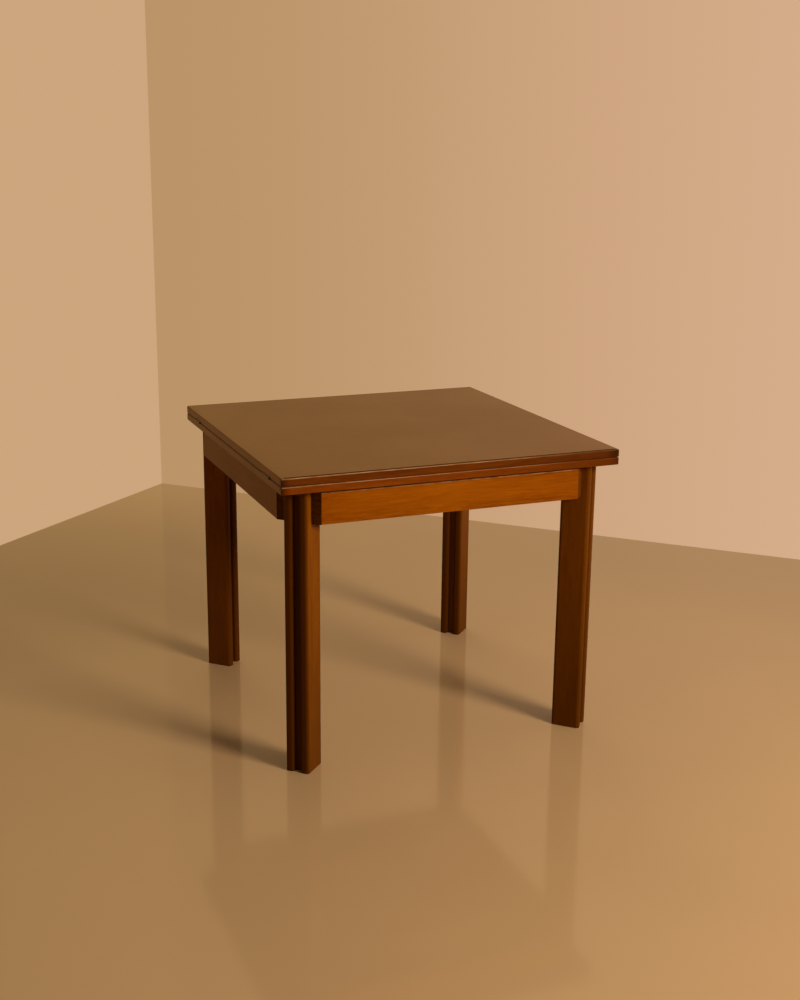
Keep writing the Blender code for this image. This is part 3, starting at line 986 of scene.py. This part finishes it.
def leg_plank(corner, turn, letter, side):
    """One plank of a leg, with rounded long edges and its leg's share of painted shade."""
    near, far = sorted((side * LEG_CORE_HALF, side * LEG_HALF))
    bm = block((LEG_INNER, near, 0), (LEG_OUTER, far, LEG_TOP))
    soften(bm, edges_along(bm, "z"), LEG_ARRIS, segments=8)
    soften(bm, edges_at(bm, 0, LEG_TOP), FOOT_ARRIS, segments=3)
    note_painted_shade(bm, *LEG_PAINTED_SHADE[corner])
    turn_about(bm, "Z", turn)
    obj = make_piece(f"{corner}_plank_{letter}", bm)
    settle(obj, "base", "walnut_solid", [leg_wood, end_grain], f"{corner}_leg_plank_{letter}")
    give_second_finish(obj, lambda normal: abs(normal.z) > SQUARE_ON)


def note_painted_shade(bm, wide_share, narrow_share):
    """Note the share of painted shade at each point of a plank, from its wide to its narrow sides and
    inside the groove.
    """
    layer = bm.verts.layers.float.new(PAINTED_SHADE_SHARE)
    middle = (LEG_INNER + LEG_OUTER) / 2
    wide = (LEG_OUTER - LEG_INNER) / 2 - LEG_ARRIS
    for vert in bm.verts:
        turned_away = min(max((abs(vert.co.x - middle) - wide) / LEG_ARRIS, 0.0), 1.0)
        in_groove = abs(vert.co.y) < LEG_CORE_HALF + LEG_ARRIS
        narrow = 1.0 if in_groove else turned_away
        vert[layer] = wide_share + (narrow_share - wide_share) * narrow


def apron(side, turn):
    """Board with softened long edges, cut back at both ends to a facet and to the leg's side."""
    bm = block((-APRON_OUTER, -APRON_OUTER, APRON_BOTTOM), (APRON_OUTER, -APRON_INNER, APRON_TOP))
    soften(bm, edges_along(bm, "x"), APRON_ARRIS, segments=4)
    for hand in (-1, 1):
        outward = Vector((hand, -1, 0)) / sqrt(2)
        across = Vector((hand, 1, 0)) / sqrt(2)
        trim(bm, outward * FACET_DISTANCE, outward)
        trim(bm, across * -(LEG_HALF + CLEARANCE), across)
    upright = [edge for edge in edges_along(bm, "z") if edge.calc_length() > SHORTEST_UPRIGHT]
    soften(bm, upright, FACET_ARRIS, segments=2)
    turn_about(bm, "Z", turn)
    obj = make_piece(f"{side}_apron_board", bm)
    if side in ("left", "right"):
        carve(obj, [rail_housing(side, end) for end in ENDS])
    grain = "x" if side in ENDS else "y"
    settle(obj, "base", "walnut_solid", [apron_wood[grain], end_grain], f"{side}_apron")
    give_second_finish(obj, looks_up_or_diagonally)


def looks_up_or_diagonally(normal):
    return normal.z > SQUARE_ON or min(abs(normal.x), abs(normal.y)) > FACET_ON


def rail_housing(side, end):
    """Pocket in a side apron, open at the top, round a rail's end."""
    low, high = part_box(f"{end}_guide_rail")
    low, high = Vector(low), Vector(high)
    room = Vector((CLEARANCE, CLEARANCE, CLEARANCE))
    high.z = APRON_TOP + APRON_ARRIS
    if side == "left":
        high.x = 0
    else:
        low.x = 0
    return block(low - room, high + room)


def lipping(leaf, side, turn):
    """Mitred edge of a leaf, with rounded arrises and a rounded corner at each end."""
    bottom = LEAVES[leaf]
    top = bottom + LEAF_THICKNESS
    bm = block((-HALF_SIDE, -HALF_SIDE, bottom), (HALF_SIDE, HALF_SIDE, top))
    soften(bm, edges_along(bm, "z"), LEAF_CORNER, segments=8)
    soften(bm, edges_at(bm, top), LEAF_ARRIS, segments=6)
    soften(bm, edges_at(bm, bottom), LEAF_LOWER_ARRIS, segments=5)
    trim(bm, (0, LIPPING_WIDTH - HALF_SIDE, 0), (0, 1, 0))
    for hand in (-1, 1):
        trim(bm, (0, 0, 0), Vector((hand, 1, 0)) / sqrt(2))
    turn_about(bm, "Z", turn)
    obj = make_piece(f"{leaf}_{side}_edge", bm)
    if side == "left":
        carve(obj, [pocket for end in ENDS for pocket in hinge_pocket(leaf, end)])
    finish = side_edge.get(side) or long_edge[leaf]
    node = f"{leaf}_leaf_{side}_lipping"
    settle(obj, f"{leaf}_top", "walnut_lipping", [finish, leaf_veneer], node)
    if side in side_edge:
        give_second_finish(obj, lambda normal: abs(normal.z) > FLAT_ON)


def hinge_pocket(leaf, end):
    """Room in a leaf's left edge for a hinge's plate and barrel."""
    middle = ENDS[end] * HINGE_Y
    reach = HINGE_LENGTH / 2 + CLEARANCE
    sink = HINGE_PLATE_THICKNESS + CLEARANCE
    if leaf == "lower":
        low_z, high_z = LOWER_LEAF_TOP - sink, HINGE_Z
    else:
        low_z, high_z = HINGE_Z, UPPER_LEAF_BOTTOM + sink
    plate = block(
        (HINGE_X - LIPPING_WIDTH, middle - reach, low_z),
        (HINGE_X + HINGE_PLATE_WIDTH, middle + reach, high_z),
    )
    barrel = rod(HINGE_BARREL + CLEARANCE, 2 * reach)
    turn_about(barrel, "X", pi / 2)
    bmesh.ops.translate(barrel, vec=(HINGE_X, middle, HINGE_Z), verts=barrel.verts)
    return plate, barrel


def countersink(place, facing, radius):
    """Cutter for a screw's seat, a little wider than the screw's head."""
    foot, deep = SEAT_FOOT * radius, SEAT_DEPTH * radius
    bm = turned([(0, -deep), (foot, -deep), (radius + SCREW_ROOM, SCREW_ROOM), (0, SCREW_ROOM)])
    bmesh.ops.recalc_face_normals(bm, faces=bm.faces)
    bmesh.ops.transform(bm, matrix=stand(place, facing), verts=bm.verts)
    return bm


def slotted_head(radius):
    """Mesh of a countersunk screw head with a straight slot, its flat face at the origin."""
    foot, deep = HEAD_FOOT * radius, HEAD_DEPTH * radius
    rim = [(HEAD_FACE * radius, 0), (radius, -HEAD_RIM * radius)]
    head = make_piece("screw_head", turned([(0, 0), *rim, (foot, -deep), (0, -deep)]))
    length, width = SLOT_HALF_LENGTH * radius, SLOT_HALF_WIDTH * radius
    carve(head, [block((-length, -width, -SLOT_DEPTH * radius), (length, width, radius))])
    mesh = head.data
    bpy.data.objects.remove(head)
    return mesh


def set_screws(name, body, slot, material, radius, places, facing):
    """Screws let in flush at the places given, each with its slot turned another way."""
    head = slotted_head(radius)
    bm = bmesh.new()
    for index, place in enumerate(places):
        first = len(bm.verts)
        bm.from_mesh(head)
        bm.verts.ensure_lookup_table()
        matrix = stand(place, facing, SCREW_ROLL * (index + 1))
        bmesh.ops.transform(bm, matrix=matrix, verts=bm.verts[first:])
    bpy.data.meshes.remove(head)
    settle(make_piece(name, bm), body, slot, [material])


def hinge_plate(end, leaf):
    """Plate with its knuckles, three seats for screws, and the screws."""
    if leaf == "lower":
        level, facing = LOWER_LEAF_TOP, Vector((0, 0, 1))
    else:
        level, facing = UPPER_LEAF_BOTTOM, Vector((0, 0, -1))
    middle = ENDS[end] * HINGE_Y
    places = [Vector((HINGE_X + inset, middle + step, level)) for step, inset in HINGE_SCREWS]
    seats = [countersink(place, facing, HINGE_SCREW_RADIUS) for place in places]
    body = f"{leaf}_top"
    name = f"{end}_{leaf}_hinge_leaf"
    softened(f"{end}_hinge_{leaf}_plate", name, body, "brass", brass, PLATE_EASE, seats)
    heads = [place - facing * SCREW_SINK for place in places]
    set_screws(f"{end}_{leaf}_hinge_screws", body, "brass", brass, HINGE_SCREW_RADIUS, heads, facing)


def runner_and_screws(end):
    """Runner with three counterbored screws up into the lower leaf."""
    node = f"{end}_runner"
    left, _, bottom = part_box(node)[0]
    middle = ENDS[end] * RUNNER_WEB_MIDDLE
    down = Vector((0, 0, -1))
    places = [Vector((left + step, middle, bottom + COUNTERBORE_DEPTH)) for step in RUNNER_SCREWS]
    bores = []
    for place in places:
        bore = rod(COUNTERBORE_RADIUS, 2 * COUNTERBORE_DEPTH)
        bmesh.ops.translate(bore, vec=place + down * COUNTERBORE_DEPTH, verts=bore.verts)
        bores.append(bore)
    softened(node, f"{end}_runner_bar", "lower_top", "beech", beech["x"], BAR_EASE, bores)
    heads = [place + down * RUNNER_HEAD_PROUD for place in places]
    set_screws(f"{end}_runner_screws", "lower_top", "steel", steel, RUNNER_SCREW_RADIUS, heads, down)


def corner_fixings(corner, turn):
    """Corner block with its screws, and the threaded bolt, washer and nut that hold the leg."""
    aim = Matrix.Rotation(turn, 3, "Z")
    out, side, up = aim @ Vector((1, 0, 0)), aim @ Vector((0, 1, 0)), Vector((0, 0, 1))
    centre = out * BLOCK_INNER + up * BOLT_HEIGHT
    places = [
        centre + side * reach * BLOCK_SCREW_REACH + up * rise * BLOCK_SCREW_RISE
        for reach in (-1, 1)
        for rise in (-1, 1)
    ]
    seats = [countersink(place, -out, BLOCK_SCREW_RADIUS) for place in places]
    node = f"{corner}_corner_block"
    softened(node, f"{corner}_bracing_block", "base", "beech", beech["z"], BLOCK_EASE, seats)
    heads = [place + out * SCREW_SINK for place in places]
    set_screws(f"{corner}_block_screws", "base", "steel", steel, BLOCK_SCREW_RADIUS, heads, -out)
    softened(f"{corner}_washer", f"{corner}_washer_ring", "base", "steel", steel, WASHER_EASE)
    softened(f"{corner}_nut", f"{corner}_hex_nut", "base", "steel", steel, NUT_EASE)
    bolt = threaded_bolt()
    bmesh.ops.transform(bolt, matrix=stand(out * BOLT_START + up * BOLT_HEIGHT, out), verts=bolt.verts)
    settle(make_piece(f"{corner}_bolt", bolt), "base", "steel", [steel], f"{corner}_hanger_bolt")


def threaded_bolt():
    """Rod with turned thread ridges at its nut end and a plain shank into the leg."""
    root = BOLT_RADIUS - THREAD_DEPTH
    profile = [(0, 0), (root, 0)]
    for ridge in range(THREAD_RIDGES):
        foot = THREAD_PITCH * ridge + THREAD_START
        profile.append((root, foot))
        profile.append((BOLT_RADIUS, foot + THREAD_PITCH / 2))
    profile.append((BOLT_RADIUS, BOLT_LENGTH - BOLT_CHAMFER))
    profile.append((BOLT_RADIUS - BOLT_CHAMFER, BOLT_LENGTH))
    profile.append((0, BOLT_LENGTH))
    return turned(profile)


# Base
for corner, turn in CORNERS.items():
    leg_plank(corner, turn, "a", -1)
    leg_plank(corner, turn, "b", 1)
    dress(f"{corner}_leg_core", groove_wood)
    corner_fixings(corner, turn)
for side, turn in SIDES.items():
    apron(side, turn)
for end in ENDS:
    softened(f"{end}_guide_rail", f"{end}_rail", "base", "beech", beech["x"], BAR_EASE)
    softened(f"{end}_rail_felt", f"{end}_felt_strip", "base", "felt", felt, STRIP_EASE)

# Top
for leaf in LEAVES:
    dress(f"{leaf}_leaf_panel", leaf_veneer)
    for side, turn in SIDES.items():
        lipping(leaf, side, turn)
    for end in ENDS:
        hinge_plate(end, leaf)
for end in ENDS:
    runner_and_screws(end)
    softened(f"{end}_hinge_pin", f"{end}_pin", "lower_top", "brass", brass, PIN_EASE)
for corner in CORNERS:
    softened(f"{corner}_buffer", f"{corner}_buffer_pad", "lower_top", "felt", felt, BUFFER_EASE)


def show_from_front(finish, shader):
    """Nothing is seen of a surface from behind."""
    behind = finish.node("ShaderNodeNewGeometry", out="Backfacing")
    clear = finish.node("ShaderNodeBsdfTransparent")
    finish.show(finish.mix_shaders(behind, shader, clear))


def make_floor():
    """Pale floor, lit round the table and fading into the backdrop further out."""
    bm = bmesh.new()
    bmesh.ops.create_grid(bm, x_segments=1, y_segments=1, size=FLOOR_SIZE / 2)
    bmesh.ops.translate(bm, vec=(0, 0, FLOOR_LEVEL), verts=bm.verts)
    obj = link("floor", bm)
    finish = Finish("pale_floor")
    cloud = finish.noise(finish.spot(), scale=0.9, detail=4.0)
    shade = finish.spread(cloud, 0.30, 0.70)
    tone = finish.mix(shade, opaque(FLOOR_COLOUR), darker(FLOOR_COLOUR, 0.94))
    finish.surface(base_color=tone, roughness=cloud * 0.04 + (FLOOR_ROUGHNESS - 0.02))
    from_table = {0: finish.spot()}
    distance = finish.node("ShaderNodeVectorMath", {"operation": "LENGTH"}, from_table, out="Value")
    fade = finish.spread(distance, *FLOOR_FADE)
    far_tone = finish.mix(fade, opaque(FAR_FLOOR_COLOUR), opaque(BACKDROP_COLOUR))
    glow = finish.node("ShaderNodeEmission", None, {"Color": far_tone})
    far = finish.spread(distance, *LIT_FLOOR) * finish.seen_or_mirrored()
    lit = Value(finish, finish.shader.outputs[0])
    show_from_front(finish, finish.mix_shaders(far, lit, glow))
    obj.data.materials.append(finish.material)


def make_wall(name, wall):
    """Upright glowing sheet from the walls' corner, whose two tones paint the room's light; it gives no
    light and casts no shadow.
    """
    bm = bmesh.new()
    foot = [bm.verts.new(WALL_CORNER), bm.verts.new(WALL_CORNER)]
    foot[1].co += Matrix.Rotation(wall["turn"], 3, "Z") @ Vector((WALL_REACH, 0, 0))
    raised = bmesh.ops.extrude_edge_only(bm, edges=[bm.edges.new(foot)])
    upper = [part for part in raised["geom"] if isinstance(part, bmesh.types.BMVert)]
    bmesh.ops.translate(bm, vec=(0, 0, WALL_HEIGHT), verts=upper)
    bm.normal_update()
    for face in bm.faces:
        if face.normal.dot(wall["facing"]) < 0:
            face.normal_flip()
    obj = link(name, bm)
    finish = Finish(f"{name}_paint")
    to_right = finish.spread(finish.along("X"), *WALL_TONES_AT)
    seen = finish.mix(to_right, *map(opaque, wall["tones"]))
    reflected = finish.mix(to_right, *map(opaque, wall["mirrored"]))
    tone = finish.mix(finish.ray("Glossy"), seen, reflected)
    show_from_front(finish, finish.node("ShaderNodeEmission", None, {"Color": tone}))
    obj.data.materials.append(finish.material)
    obj.visible_shadow = False
    obj.visible_diffuse = False


def make_camera():
    data = bpy.data.cameras.new("camera")
    data.lens = CAMERA_LENS
    data.sensor_width = SENSOR_WIDTH
    camera = bpy.data.objects.new("camera", data)
    camera.matrix_world = (
        Matrix.Translation(CAMERA_PLACE)
        @ Matrix.Rotation(-CAMERA_YAW, 4, "Z")
        @ Matrix.Rotation(pi / 2 - CAMERA_PITCH, 4, "X")
        @ Matrix.Rotation(CAMERA_ROLL, 4, "Z")
    )
    bpy.context.scene.collection.objects.link(camera)
    bpy.context.scene.camera = camera


def soft_lamp(name, place, shape, size, power, mirrored):
    """Area lamp that the camera doesn't see, and reflections only if it is mirrored."""
    data = bpy.data.lights.new(name, "AREA")
    data.shape = shape
    data.size = size
    data.energy = power
    data.color = LAMP_COLOUR
    lamp = bpy.data.objects.new(name, data)
    lamp.location = place
    lamp.rotation_euler = (LAMP_TARGET - Vector(place)).to_track_quat("-Z", "Y").to_euler()
    lamp.visible_camera = False
    lamp.visible_glossy = mirrored
    bpy.context.scene.collection.objects.link(lamp)


def light_world():
    """Soft even fill; the camera sees the backdrop, and reflections see it darken overhead."""
    world = bpy.data.worlds.new("studio")
    bpy.context.scene.world = world
    world.use_nodes = True
    studio = Network(world.node_tree)
    even = {"Color": opaque(WORLD_COLOUR), "Strength": WORLD_STRENGTH}
    fill = studio.node("ShaderNodeBackground", None, even)
    direction = studio.node("ShaderNodeTexCoord", out="Generated")
    overhead = studio.spread(studio.axis(direction, "Z"), *OVERHEAD_RISE) * studio.ray("Glossy")
    tone = studio.mix(overhead, opaque(BACKDROP_COLOUR), opaque(OVERHEAD_COLOUR))
    backdrop = studio.node("ShaderNodeBackground", None, {"Color": tone})
    choice = studio.mix_shaders(studio.seen_or_mirrored(), fill, backdrop)
    studio.show(choice, "World Output")


# Stage, camera and light
make_floor()
for name, wall in WALLS.items():
    make_wall(name, wall)
make_camera()
for name, lamp in LAMPS.items():
    soft_lamp(name, **lamp)
light_world()
bpy.context.scene.view_settings.view_transform = "Standard"
